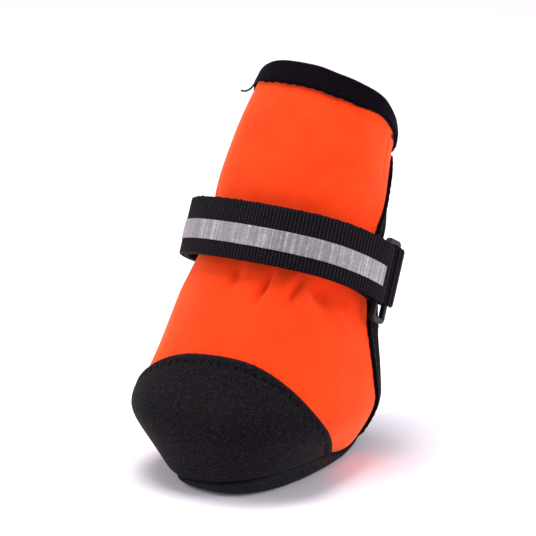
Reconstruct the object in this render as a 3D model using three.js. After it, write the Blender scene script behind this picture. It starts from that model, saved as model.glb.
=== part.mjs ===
// Soft dog boot: a wrapped sheet upper on a padded sole, with toe cap, heel panel, bound edges
// and a webbing strap folded through a plastic ring.
// Millimetres, +Z up, toe towards -Y, the boot's own left side towards +X.
// The origin lies on the floor under the sole.
import * as THREE from 'three';

// Sections of the upper's outer skin, from the sole seam up the leaning shaft to the collar.
// y, z: middle of the section; tilt: degrees by which its front is raised; half: half width;
// front, back: reach towards toe and heel; flap: angle of the outer flap's free edge;
// drop: how much lower the left side lies than the middle.
const SECTIONS = [
  { name: 'seam', y: -5.0, z: 8.0, tilt: 0, half: 28.3, front: 37.4, back: 46.8, flap: 130, drop: 0 },
  { name: 'ball', y: -4.6, z: 21.4, tilt: 3.8, half: 37.8, front: 42.4, back: 46.2, flap: 125, drop: 0 },
  { name: 'instep', y: 2.3, z: 33.7, tilt: 4.2, half: 36.0, front: 39.6, back: 39.8, flap: 115, drop: 0 },
  { name: 'ankle', y: 11.9, z: 54.8, tilt: 15, half: 32.1, front: 30.8, back: 32.6, flap: 105, drop: 0 },
  { name: 'strap', y: 20.8, z: 74.3, tilt: 25, half: 29.7, front: 25.4, back: 28.9, flap: 106, drop: 0 },
  { name: 'shaft', y: 30.8, z: 98.8, tilt: 34, half: 27.5, front: 23.4, back: 26.5, flap: 128, drop: 0.1 },
  { name: 'collar', y: 43.2, z: 115.6, tilt: 45, half: 24.4, front: 22.0, back: 24.6, flap: 158, drop: 0.3 },
];
const TOE_ROUNDING = 2.5;
const HEEL_ROUNDING = 2.15;

// Sheet of the upper and what is sewn on it
const WALL = 2.0;
const SEW_GAP = 0.3;
const PANEL_GAP = 0.45;
const BINDING_GAP = 0.5;
const LEVEL_RISE = 7;
const OVERLAP_ANGLE = 38;
const EMERGE_ANGLE = 32;
const PANEL_THICKNESS = 1.2;
const BINDING_THICKNESS = 0.8;
const COLLAR_BINDING_WIDTH = 6.4;
const FLAP_BINDING_WIDTH = 6.0;
const TOE_CAP_RISE = 35.5;
const TOE_CAP_ANGLE = 92.8;
const TOE_CAP_POWER = 2.1;
const TOE_CAP_REACH = 0.985;
const TOE_CAP_SKEW = 3.9;
const HEEL_PANEL_RISE = 42;
const HEEL_PANEL_START = 4;
const HEEL_PANEL_END = -140;

// Rings of the sole from the middle of the tread, round the side and over the lip into the tray.
// grow: share of the tread outline, or wider: how far the ring lies outside the tread outline.
const SOLE_MIDDLE = -5.0;
const TREAD = { half: 22.2, front: 31.6, back: 41.2 };
const SOLE_RINGS = [
  { name: 'tread middle', z: 0, grow: 0.5, wider: 0, spring: 1 },
  { name: 'tread edge', z: 0, grow: 1, wider: 2.2, spring: 1 },
  { name: 'shoulder', z: 1.4, grow: 1, wider: 4.5, spring: 0.7 },
  { name: 'side', z: 4.3, grow: 1, wider: 6.0, spring: 0.3 },
  { name: 'lip', z: 7.7, grow: 1, wider: 6.0, spring: 0 },
  { name: 'lip inside', z: 7.7, grow: 1, wider: 3.8, spring: 0 },
  { name: 'tray wall', z: 5.2, grow: 1, wider: 2.4, spring: 0 },
  { name: 'tray floor', z: 4.0, grow: 1, wider: 0.8, spring: 0 },
];
const TOE_SPRING = 0.5;
const SPRING_START = -20;
const INSOLE_RINGS = [
  { name: 'underside', z: 4.3, grow: 1, wider: 0.2, spring: 0 },
  { name: 'lower edge', z: 4.9, grow: 1, wider: 1.0, spring: 0 },
  { name: 'upper edge', z: 6.2, grow: 1, wider: 1.6, spring: 0 },
  { name: 'top', z: 6.6, grow: 1, wider: 0.4, spring: 0 },
];

// Strap: a flat band round the ankle on an axis that leans with the shaft
const STRAP_MIDDLE = { x: 0, y: 18.3, z: 69.3 };
const STRAP_TILT = 26;
const STRAP_WIDTH = 20;
const WEBBING = 1.4;
const LAYER_STEP = WEBBING + SEW_GAP;
const BAND = { half: 37.25, front: 32.4, back: 35.4 };
const TAB_BAND = { half: 35.4, front: 32.4, back: 33.7 };
const BAND_ROUNDING = 2.2;
const STRAP_SAG = { depth: 3.2, start: 40, end: 95 };
const STRAP_ANCHOR_ANGLE = -172;
const STRAP_TAIL_ANGLE = -125;
const FOLD_ANGLE = 91;
const FOLD_LENGTH_ANGLE = 26;
const FOLD_BULGE = 1.2;
const STRIPE_WIDTH = 6.8;
const STRIPE_THICKNESS = 0.3;
const STRIPE_DROP = 1.5;
const STRIPE_START_ANGLE = 88;
const STRIPE_END_ANGLE = -118;
const TAB_START_ANGLE = 126;
const TAB_END_ANGLE = 174;
const TAB_SAG = { depth: 2.5, start: 172, end: 112 };

// Ring: two bars across the strap, joined at their ends
const RING_BAR = 2.1;
const RING_PITCH = 8.0;
const RING_TURN = 5.7;
const RING_SLOT_PLAY = 2.35;
const RING_DROP = 4.7;
const BAR_PLAY = 0.35;
const RING_CORNER = 1.6;
const SLOT_CORNER = 0.4;
const RING_BEVEL = 0.5;

// Fineness of the curved surfaces
const SHEET_COLUMNS = 54;
const SHEET_ROWS = 22;
const SHEET_CROWDING = 1.35;
const CAP_COLUMNS = 34;
const CAP_ROWS = 10;
const HEEL_COLUMNS = 14;
const HEEL_ROWS = 8;
const OUTLINE_POINTS = 48;
const BINDING_STEPS = 48;
const BAND_STEP_ANGLE = 7.5;
const FOLD_STEPS = 8;
const CORNER_STEPS = 3;
const PROBE = 0.4;

const radians = THREE.MathUtils.degToRad;
const lerp = THREE.MathUtils.lerp;

function smooth(value) {
  return THREE.MathUtils.smoothstep(value, 0, 1);
}

function signedPower(value, power) {
  return Math.sign(value) * Math.abs(value) ** power;
}

// Smooth curve through the rows of a table, which never swings past a row
function curveThrough(stations, values) {
  const secants = values.slice(1).map((value, i) => (value - values[i]) / (stations[i + 1] - stations[i]));
  const slopes = values.map((value, i) => {
    const before = secants[Math.max(i - 1, 0)];
    const after = secants[Math.min(i, secants.length - 1)];
    return before * after > 0 ? (2 * before * after) / (before + after) : 0;
  });
  return (at) => {
    const place = THREE.MathUtils.clamp(at, stations[0], stations[stations.length - 1]);
    const next = Math.max(stations.findIndex((station) => station >= place), 1);
    const span = stations[next] - stations[next - 1];
    const t = (place - stations[next - 1]) / span;
    const rest = 1 - t;
    const left = values[next - 1] * (1 + 2 * t) + slopes[next - 1] * span * t;
    const right = values[next] * (1 + 2 * rest) - slopes[next] * span * rest;
    return left * rest * rest + right * t * t;
  };
}

// Rise of each section: the way along the middle line from the seam
const rises = [0];
SECTIONS.slice(1).forEach((row, i) => {
  rises.push(rises[i] + Math.hypot(row.y - SECTIONS[i].y, row.z - SECTIONS[i].z));
});
const COLLAR_RISE = rises[rises.length - 1];
const column = (key) => curveThrough(rises, SECTIONS.map((row) => row[key]));
const middleY = column('y');
const middleZ = column('z');
const tiltAt = column('tilt');
const halfAt = column('half');
const frontAt = column('front');
const backAt = column('back');
const flapAngle = column('flap');
const dropAt = column('drop');

// Point of a rounded outline at an angle from the toe, positive towards the left side
function outlinePoint(angle, half, front, back, toeRounding, heelRounding) {
  const side = Math.sin(radians(angle));
  const ahead = Math.cos(radians(angle));
  const power = 2 / (ahead > 0 ? toeRounding : heelRounding);
  const reach = ahead > 0 ? front : back;
  return { across: half * signedPower(side, power), ahead: reach * signedPower(ahead, power) };
}

function skinBase(angle, rise) {
  const at = outlinePoint(angle, halfAt(rise), frontAt(rise), backAt(rise), TOE_ROUNDING, HEEL_ROUNDING);
  const tilt = radians(tiltAt(rise));
  const y = middleY(rise) - at.ahead * Math.cos(tilt);
  const z = middleZ(rise) + at.ahead * Math.sin(tilt);
  const lower = (dropAt(rise) * at.across) / halfAt(rise);
  return new THREE.Vector3(at.across, y, z - lower);
}

// Point of the upper's skin, moved out along the skin's normal. The normal turns level near the
// seam, so that everything sewn to the sole ends on one plane.
function skin(angle, rise, out) {
  const across = skinBase(angle + PROBE, rise).sub(skinBase(angle - PROBE, rise));
  const upwards = skinBase(angle, rise + PROBE).sub(skinBase(angle, rise - PROBE));
  const normal = across.cross(upwards).normalize();
  normal.z *= smooth(rise / LEVEL_RISE);
  return skinBase(angle, rise).addScaledVector(normal.normalize(), out);
}

// Degrees round the skin that a length in millimetres takes
function degreesFor(length, angle, rise) {
  const perDegree = skinBase(angle + PROBE, rise).distanceTo(skinBase(angle - PROBE, rise)) / (2 * PROBE);
  return length / perDegree;
}

// The inner flap dips under the outer one and its binding, then comes out to the skin again.
// Angles run on past the rear, so the inner flap has angles a full turn below the outer flap's.
const FLAP_DIP = WALL + 2 * BINDING_GAP + BINDING_THICKNESS;
function sheetOut(angle, rise) {
  const clear = flapAngle(rise) - 360 + HEEL_PANEL_START;
  return -FLAP_DIP * (1 - smooth((angle - clear) / EMERGE_ANGLE));
}

function finish(name, geometry, look) {
  geometry.computeVertexNormals();
  const mesh = new THREE.Mesh(geometry, new THREE.MeshStandardMaterial(look));
  mesh.name = name;
  return mesh;
}

function geometryFrom(points, triangles) {
  const geometry = new THREE.BufferGeometry();
  const numbers = points.flatMap((p) => p.toArray());
  geometry.setAttribute('position', new THREE.Float32BufferAttribute(numbers, 3));
  const volume = triangles.reduce((sum, [a, b, c]) => {
    return sum + points[a].dot(new THREE.Vector3().crossVectors(points[b], points[c]));
  }, 0);
  const facing = volume > 0 ? triangles : triangles.map(([a, b, c]) => [a, c, b]);
  geometry.setIndex(facing.flat());
  return geometry;
}

// Closed body between two sheets of points of the same grid
function sheetBody(columns, rows, outerPoint, innerPoint) {
  const points = [];
  for (const place of [outerPoint, innerPoint]) {
    for (let row = 0; row <= rows; row += 1) {
      for (let col = 0; col <= columns; col += 1) {
        points.push(place(col / columns, row / rows));
      }
    }
  }
  const layer = (columns + 1) * (rows + 1);
  const at = (side, col, row) => side * layer + row * (columns + 1) + col;
  const triangles = [];
  const quad = (a, b, c, d) => triangles.push([a, b, c], [a, c, d]);
  for (let row = 0; row < rows; row += 1) {
    for (let col = 0; col < columns; col += 1) {
      quad(at(0, col, row), at(0, col + 1, row), at(0, col + 1, row + 1), at(0, col, row + 1));
      quad(at(1, col, row), at(1, col, row + 1), at(1, col + 1, row + 1), at(1, col + 1, row));
    }
  }
  for (let col = 0; col < columns; col += 1) {
    quad(at(0, col + 1, 0), at(0, col, 0), at(1, col, 0), at(1, col + 1, 0));
    quad(at(0, col, rows), at(0, col + 1, rows), at(1, col + 1, rows), at(1, col, rows));
  }
  for (let row = 0; row < rows; row += 1) {
    quad(at(0, 0, row), at(0, 0, row + 1), at(1, 0, row + 1), at(1, 0, row));
    quad(at(0, columns, row + 1), at(0, columns, row), at(1, columns, row), at(1, columns, row + 1));
  }
  return geometryFrom(points, triangles);
}

// Closed body through rings of points, with a fan over the first and the last ring
function ringBody(rings) {
  const count = rings[0].length;
  const points = rings.flat();
  const triangles = [];
  for (let ring = 0; ring + 1 < rings.length; ring += 1) {
    for (let i = 0; i < count; i += 1) {
      const a = ring * count + i;
      const b = ring * count + ((i + 1) % count);
      triangles.push([a, b, b + count], [a, b + count, a + count]);
    }
  }
  const addFan = (start, turn) => {
    const ring = points.slice(start, start + count);
    const middle = ring.reduce((sum, p) => sum.add(p), new THREE.Vector3()).divideScalar(count);
    points.push(middle);
    for (let i = 0; i < count; i += 1) {
      const a = start + i;
      const b = start + ((i + 1) % count);
      triangles.push(turn ? [b, a, points.length - 1] : [a, b, points.length - 1]);
    }
  };
  addFan(0, true);
  addFan((rings.length - 1) * count, false);
  return geometryFrom(points, triangles);
}

// Closed body that carries a flat profile through stations, with both ends covered
function sweptBody(profile, stations, placeAt) {
  const count = profile.length;
  const points = stations.flatMap((station) => profile.map((corner) => placeAt(station, corner)));
  const triangles = [];
  for (let step = 0; step + 1 < stations.length; step += 1) {
    for (let i = 0; i < count; i += 1) {
      const a = step * count + i;
      const b = step * count + ((i + 1) % count);
      triangles.push([a, b, b + count], [a, b + count, a + count]);
    }
  }
  const last = (stations.length - 1) * count;
  THREE.ShapeUtils.triangulateShape(profile, []).forEach(([a, b, c]) => {
    triangles.push([b, a, c], [last + a, last + b, last + c]);
  });
  return geometryFrom(points, triangles);
}

function evenly(from, to, steps) {
  return Array.from({ length: steps + 1 }, (_, i) => lerp(from, to, i / steps));
}

// Rise of a row of the sheet: rows crowd together where the foot is most curved
function rowRise(share) {
  return share ** SHEET_CROWDING * COLLAR_RISE;
}

function makeUpper(look) {
  const place = (out) => (share, up) => {
    const rise = rowRise(up);
    const end = flapAngle(rise);
    const angle = lerp(end - OVERLAP_ANGLE - 360, end, share);
    return skin(angle, rise, sheetOut(angle, rise) + out);
  };
  return finish('upper', sheetBody(SHEET_COLUMNS, SHEET_ROWS, place(0), place(-WALL)), look);
}

function makeToeCap(look) {
  const place = (out) => (share, up) => {
    const side = lerp(-TOE_CAP_REACH, TOE_CAP_REACH, share);
    const arch = TOE_CAP_RISE * (1 - Math.abs(side) ** TOE_CAP_POWER);
    const top = arch + TOE_CAP_SKEW * side * (1 - side ** 2);
    return skin(side * TOE_CAP_ANGLE, up * top, out);
  };
  const outer = place(PANEL_GAP + PANEL_THICKNESS);
  return finish('toe_cap', sheetBody(CAP_COLUMNS, CAP_ROWS, outer, place(PANEL_GAP)), look);
}

function makeHeelPanel(look) {
  const place = (out) => (share, up) => {
    const rise = up * HEEL_PANEL_RISE;
    const angle = lerp(flapAngle(rise) - 360 + HEEL_PANEL_START, HEEL_PANEL_END, share);
    return skin(angle, rise, sheetOut(angle, rise) + out);
  };
  const outer = place(PANEL_GAP + PANEL_THICKNESS);
  return finish('heel_panel', sheetBody(HEEL_COLUMNS, HEEL_ROWS, outer, place(PANEL_GAP)), look);
}

// Binding folded over an edge: x runs past the edge, y out from the skin
function bindingProfile(width) {
  const near = BINDING_GAP;
  const far = BINDING_GAP + BINDING_THICKNESS;
  const corners = [
    [near, near],
    [near, -WALL - near],
    [-width / 2, -WALL - near],
    [-width, -WALL - near],
    [-width, -WALL - far],
    [-width / 2, -WALL - far],
    [near, -WALL - far],
    [far, -WALL - near],
    [far, near],
    [near, far],
    [-width / 2, far],
    [-width, far],
    [-width, near],
    [-width / 2, near],
  ];
  return corners.map(([past, out]) => new THREE.Vector2(past, out));
}

// Point of the sheet near the collar, which goes on straight past the rim for the binding's fold
function pastCollar(angle, past, out) {
  const place = (rise) => skin(angle, rise, sheetOut(angle, rise) + out);
  const inside = Math.min(past, 0);
  const upwards = place(COLLAR_RISE).sub(place(COLLAR_RISE - 1)).normalize();
  return place(COLLAR_RISE + inside).addScaledVector(upwards, past - inside);
}

function makeCollarBinding(look) {
  const end = flapAngle(COLLAR_RISE);
  const stations = evenly(end - 360 + HEEL_PANEL_START, end, BINDING_STEPS);
  const placeAt = (angle, corner) => pastCollar(angle, corner.x, corner.y);
  const geometry = sweptBody(bindingProfile(COLLAR_BINDING_WIDTH), stations, placeAt);
  return finish('collar_binding', geometry, look);
}

function makeFlapBinding(look) {
  const top = COLLAR_RISE - COLLAR_BINDING_WIDTH - SEW_GAP;
  const stations = [...evenly(0, 1, SHEET_ROWS).map(rowRise).filter((rise) => rise < top), top];
  const placeAt = (rise, corner) => {
    const edge = flapAngle(rise);
    return skin(edge + degreesFor(corner.x, edge, rise), rise, corner.y);
  };
  const geometry = sweptBody(bindingProfile(FLAP_BINDING_WIDTH), stations, placeAt);
  return finish('flap_binding', geometry, look);
}

// Ring of points round the sole's outline
function soleRing(row) {
  return Array.from({ length: OUTLINE_POINTS }, (_, i) => {
    const reach = (key) => TREAD[key] * row.grow + row.wider;
    const angle = (360 * i) / OUTLINE_POINTS;
    const half = reach('half');
    const at = outlinePoint(angle, half, reach('front'), reach('back'), TOE_ROUNDING, HEEL_ROUNDING);
    const y = SOLE_MIDDLE - at.ahead;
    const beyond = Math.max(0, SPRING_START - y) / (SPRING_START - SOLE_MIDDLE + TREAD.front);
    return new THREE.Vector3(at.across, y, row.z + row.spring * TOE_SPRING * beyond ** 2);
  });
}

function makeSole(look) {
  return finish('sole', ringBody(SOLE_RINGS.map(soleRing)), look);
}

function makeInsole(look) {
  return finish('insole', ringBody(INSOLE_RINGS.map(soleRing)), look);
}

// Point at an angle of a band's middle line, or of a layer that lies further in
function bandPoint(angle, inset, band = BAND) {
  const { half, front, back } = band;
  const at = outlinePoint(angle, half - inset, front - inset, back - inset, BAND_ROUNDING, BAND_ROUNDING);
  return new THREE.Vector2(at.across, -at.ahead);
}

// Ring bars: the first in the strap's fold, the second in the tab's fold. The ring turns in from the
// straight way back, so that it lies along the boot.
const FOLD_RADIUS = RING_BAR / 2 + BAR_PLAY + WEBBING / 2;
const BAR_INSET = FOLD_RADIUS - FOLD_BULGE;
const firstBar = bandPoint(FOLD_ANGLE, BAR_INSET);
const ringAlong = new THREE.Vector2(-Math.sin(radians(RING_TURN)), Math.cos(radians(RING_TURN)));
const secondBar = firstBar.clone().addScaledVector(ringAlong, RING_PITCH);

// Half turn of webbing round a bar, from its inner side to its outer side
function foldRound(bar, along) {
  const outwards = new THREE.Vector2(Math.abs(along.y), -along.x * Math.sign(along.y));
  return evenly(0, 180, FOLD_STEPS).map((turn) => {
    const point = bar.clone().addScaledVector(outwards, -FOLD_RADIUS * Math.cos(radians(turn)));
    return point.addScaledVector(along, FOLD_RADIUS * Math.sin(radians(turn)));
  });
}

function bandLine(from, to, place) {
  const steps = Math.max(Math.round(Math.abs(to - from) / BAND_STEP_ANGLE), 1);
  return evenly(from, to, steps).map(place);
}

// Extruded ribbon of a thickness about its middle line, standing across the band
function ribbonGeometry(line, thickness, width) {
  const sideAt = (i) => {
    const before = line[Math.max(i - 1, 0)];
    const after = line[Math.min(i + 1, line.length - 1)];
    const along = after.clone().sub(before).normalize();
    return new THREE.Vector2(-along.y, along.x);
  };
  const shifted = (share) => line.map((p, i) => p.clone().addScaledVector(sideAt(i), share * thickness));
  const shape = new THREE.Shape([...shifted(0.5), ...shifted(-0.5).reverse()]);
  const geometry = new THREE.ExtrudeGeometry(shape, { depth: width, bevelEnabled: false });
  return geometry.translate(0, 0, -width / 2);
}

// The webbing hangs down on its way to the ring
function sagged(geometry, { depth, start, end }) {
  const place = geometry.attributes.position;
  for (let i = 0; i < place.count; i += 1) {
    const angle = THREE.MathUtils.radToDeg(Math.atan2(place.getX(i), -place.getY(i)));
    const share = THREE.MathUtils.clamp((angle - start) / (end - start), 0, 1);
    place.setZ(i, place.getZ(i) - depth * share ** 2);
  }
  return geometry;
}

// How far the two layers have parted on their way to the fold, from 0 to 1
function foldOpening(angle) {
  return smooth((angle - FOLD_ANGLE + FOLD_LENGTH_ANGLE) / FOLD_LENGTH_ANGLE);
}

function makeStrap(look) {
  const beforeFold = FOLD_ANGLE - BAND_STEP_ANGLE / 2;
  const under = (angle) => bandPoint(angle, lerp(LAYER_STEP, BAR_INSET + FOLD_RADIUS, foldOpening(angle)));
  const over = (angle) => bandPoint(angle, -FOLD_BULGE * foldOpening(angle));
  const along = bandPoint(FOLD_ANGLE + PROBE, 0).sub(bandPoint(FOLD_ANGLE - PROBE, 0)).normalize();
  const line = [
    ...bandLine(STRAP_ANCHOR_ANGLE, beforeFold, under),
    ...foldRound(firstBar, along),
    ...bandLine(beforeFold, STRAP_TAIL_ANGLE, over),
  ];
  return finish('strap', sagged(ribbonGeometry(line, WEBBING, STRAP_WIDTH), STRAP_SAG), look);
}

function makeStripe(look) {
  const lift = WEBBING / 2 + SEW_GAP + STRIPE_THICKNESS / 2;
  const place = (angle) => bandPoint(angle, -lift - FOLD_BULGE * foldOpening(angle));
  const line = bandLine(STRIPE_START_ANGLE, STRIPE_END_ANGLE, place);
  const ribbon = sagged(ribbonGeometry(line, STRIPE_THICKNESS, STRIPE_WIDTH), STRAP_SAG);
  const mesh = finish('reflective_stripe', ribbon, look);
  mesh.position.z = -STRIPE_DROP;
  return mesh;
}

// The tab lies along the boot from its sewn ends to the second bar
function makeRingTab(look) {
  const under = bandLine(TAB_END_ANGLE, TAB_START_ANGLE, (angle) => bandPoint(angle, 0, TAB_BAND));
  const over = bandLine(TAB_START_ANGLE, TAB_END_ANGLE, (angle) => bandPoint(angle, -LAYER_STEP, TAB_BAND));
  const line = [...under, ...foldRound(secondBar, ringAlong.clone().negate()), ...over];
  return finish('ring_tab', sagged(ribbonGeometry(line, WEBBING, STRAP_WIDTH), TAB_SAG), look);
}

// Rectangle with round corners, as a path about the origin
function roundedRectangle(path, width, height, corner) {
  const right = width / 2 - corner;
  const top = height / 2 - corner;
  path.absarc(right, top, corner, 0, Math.PI / 2);
  path.absarc(-right, top, corner, Math.PI / 2, Math.PI);
  path.absarc(-right, -top, corner, Math.PI, 1.5 * Math.PI);
  path.absarc(right, -top, corner, 1.5 * Math.PI, 2 * Math.PI);
  path.closePath();
  return path;
}

function makeRing(look) {
  const slotWidth = RING_PITCH - RING_BAR;
  const slotHeight = STRAP_WIDTH + 2 * RING_SLOT_PLAY;
  const outer = [slotWidth + 2 * RING_BAR, slotHeight + 2 * RING_BAR];
  const shape = roundedRectangle(new THREE.Shape(), ...outer, RING_CORNER);
  shape.holes.push(roundedRectangle(new THREE.Path(), slotWidth, slotHeight, SLOT_CORNER));
  const depth = RING_BAR - 2 * RING_BEVEL;
  const geometry = new THREE.ExtrudeGeometry(shape, {
    depth,
    curveSegments: CORNER_STEPS,
    bevelThickness: RING_BEVEL,
    bevelSize: RING_BEVEL,
    bevelOffset: -RING_BEVEL,
    bevelSegments: 1,
  });
  geometry.translate(0, 0, -depth / 2);
  const mesh = finish('strap_ring', geometry, look);
  const middle = firstBar.clone().lerp(secondBar, 0.5);
  const along = new THREE.Vector3(ringAlong.x, ringAlong.y, 0);
  const across = new THREE.Vector3(0, 0, 1);
  const turn = new THREE.Matrix4().makeBasis(along, across, along.clone().cross(across));
  mesh.quaternion.setFromRotationMatrix(turn);
  mesh.position.set(middle.x, middle.y, -RING_DROP);
  return mesh;
}

const ORANGE_SHELL = { color: 0xff4a17, roughness: 0.75, metalness: 0 };
const NEOPRENE = { color: 0x201e22, roughness: 0.9, metalness: 0 };
const GRIP_CLOTH = { color: 0x17161a, roughness: 0.7, metalness: 0 };
const LINING = { color: 0x2a282c, roughness: 0.95, metalness: 0 };
const BINDING_CLOTH = { color: 0x131215, roughness: 0.95, metalness: 0 };
const STRAP_WEBBING = { color: 0x161518, roughness: 0.85, metalness: 0 };
const SILVER_TAPE = { color: 0xb4aeb4, roughness: 0.4, metalness: 0 };
const RING_PLASTIC = { color: 0x18171a, roughness: 0.45, metalness: 0 };

const boot = new THREE.Group();
boot.name = 'dog_boot';
boot.add(
  makeSole(GRIP_CLOTH),
  makeInsole(LINING),
  makeUpper(ORANGE_SHELL),
  makeToeCap(NEOPRENE),
  makeHeelPanel(NEOPRENE),
  makeCollarBinding(BINDING_CLOTH),
  makeFlapBinding(BINDING_CLOTH),
);

const fastening = new THREE.Group();
fastening.position.set(STRAP_MIDDLE.x, STRAP_MIDDLE.y, STRAP_MIDDLE.z);
fastening.rotation.x = -radians(STRAP_TILT);
fastening.add(
  makeStrap(STRAP_WEBBING),
  makeStripe(SILVER_TAPE),
  makeRing(RING_PLASTIC),
  makeRingTab(STRAP_WEBBING),
);
boot.add(fastening);

export default boot;
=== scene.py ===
import math

import bpy
import numpy as np
from mathutils import Matrix, Vector


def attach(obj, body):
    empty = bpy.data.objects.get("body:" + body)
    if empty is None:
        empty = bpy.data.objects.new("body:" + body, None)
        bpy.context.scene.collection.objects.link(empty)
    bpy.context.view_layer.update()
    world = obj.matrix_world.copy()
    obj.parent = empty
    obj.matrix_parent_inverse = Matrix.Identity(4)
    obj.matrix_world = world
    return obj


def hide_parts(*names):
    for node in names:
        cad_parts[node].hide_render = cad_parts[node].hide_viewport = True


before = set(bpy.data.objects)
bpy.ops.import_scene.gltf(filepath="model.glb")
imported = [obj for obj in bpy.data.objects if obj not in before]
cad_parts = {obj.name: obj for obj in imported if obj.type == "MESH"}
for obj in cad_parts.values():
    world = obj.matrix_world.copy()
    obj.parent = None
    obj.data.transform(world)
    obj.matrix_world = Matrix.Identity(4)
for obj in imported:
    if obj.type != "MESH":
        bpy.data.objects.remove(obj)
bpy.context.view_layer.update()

# Sizes are in millimetres and degrees, in the frame of the part: +Z up, toe towards -Y, left side +X.
# Meshes are scaled to metres as they are made.
MM = 0.001

# Points of the meshes: columns and rows of a sheet, rings along a tube, points round a section.
# Crowding gathers the rows of a sheet at the end where it bends most.
UPPER_GRID, UPPER_CROWDING = (281, 141), 1.2
TOE_CAP_GRID, TOE_CAP_CROWDING = (521, 54), 1.7
HEEL_PANEL_GRID, HEEL_PANEL_CROWDING = (241, 121), 1.5
COLLAR_RINGS, FLAP_RINGS = 441, 321
BINDING_LEG_POINTS, BINDING_FOLD_POINTS = 9, 13
SOLE_POINTS, SOLE_STEPS, INSOLE_STEPS = 192, 7, 6
FOLD_POINTS = 25
RING_CORNER_POINTS, RING_BAR_POINTS = 9, 20
THREAD_SIDES, STITCH_RINGS, LOOSE_END_RINGS = 6, 7, 33
LINE_POINTS, COLLAR_LINE_POINTS, FLAP_LINE_POINTS = 801, 601, 401
EASING_PASSES = 12

# Sections of the upper's outer skin from the sole seam to the collar, as in the part's source
SECTION_COLUMNS = ("y", "z", "tilt", "half", "front", "back", "flap", "drop")
SECTIONS = {
    "seam": (-5.0, 8.0, 0, 28.3, 37.4, 46.8, 130, 0),
    "ball": (-4.6, 21.4, 3.8, 37.8, 42.4, 46.2, 125, 0),
    "instep": (2.3, 33.7, 4.2, 36.0, 39.6, 39.8, 115, 0),
    "ankle": (11.9, 54.8, 15, 32.1, 30.8, 32.6, 105, 0),
    "strap": (20.8, 74.3, 25, 29.7, 25.4, 28.9, 106, 0),
    "shaft": (30.8, 98.8, 34, 27.5, 23.4, 26.5, 128, 0.1),
    "collar": (43.2, 115.6, 45, 24.4, 22.0, 24.6, 158, 0.3),
}
TOE_ROUNDING = 2.5
HEEL_ROUNDING = 2.15

# How far sections are softened, the rise below which normals turn level, and half a slope's step
SOFTEN_RISE = 5.0
SOFTEN_ANGLE = 5.0
LEVEL_RISE = 7
PROBE = 0.4

# Sheet of the upper and its overlap
WALL = 2.0
OVERLAP_ANGLE = 38
EMERGE_ANGLE = 32
FLAP_DIP = 3.8
RIM_FLAP_DIP = 1.6
FLAP_CLEARANCE = 4
SEAM_TUCK = 1.5
SEAM_TUCK_RISE = 2.6

# The foot sags over the sole: angle, spread and depth of each place where the seam dips,
# and angle, spread and share of each place where it is drawn in
SEAM_DIPS = {"right of the toe": (-40, 60, 5.5), "left side": (112, 18, 5.0)}
SEAM_DRAWS = {
    "right of the toe": (-62, 42, 0.26),
    "left of the toe": (70, 35, 0.02),
    "left side": (113, 17, 0.05),
}
SEAM_SAG_RISE = 15
SOLE_DRAWS = {
    "tucked under the right of the toe": (-62, 34, 0.07),
    "tucked under the left of the toe": (74, 34, 0.05),
}
INSOLE_DRAWS = {"room for the inner flap": (112, 28, 0.16)}

# The rim is not quite level, and its binding is pulled narrower where the collar turns
RIM_ANGLES = (-200, -60, -20, 5, 30, 50, 80, 95, 112, 160)
RIM_LIFTS = (0, 0, 1.2, 0.7, -0.3, -0.1, 0.9, 0, -1.4, 0)
RIM_LIFT_START = 98
BINDING_ANGLES = (-200, -100, -56, -20, 50, 85, 110, 135, 160)
BINDING_WIDTHS = (6.0, 5.6, 3.5, 6.2, 6.4, 4.7, 3.0, 4.6, 6.0)
BINDING_NEAR = 0.15
BINDING_FAR = 1.3
BINDING_START_ANGLE = 1
FLAP_BINDING_WIDTH = 6.0
FLAP_BINDING_TOP = 6.7

# Waves of a binding's sewn edge, out from the cloth and beside it: length, height, start of each
COLLAR_STITCH_PITCH = 3.6
BINDING_PUCKERS = ((COLLAR_STITCH_PITCH, 0.06, 0), (13.7, 0.03, 1))
BINDING_WAVES = ((COLLAR_STITCH_PITCH, 0.1, 0.8), (9.1, 0.08, 0))

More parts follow.
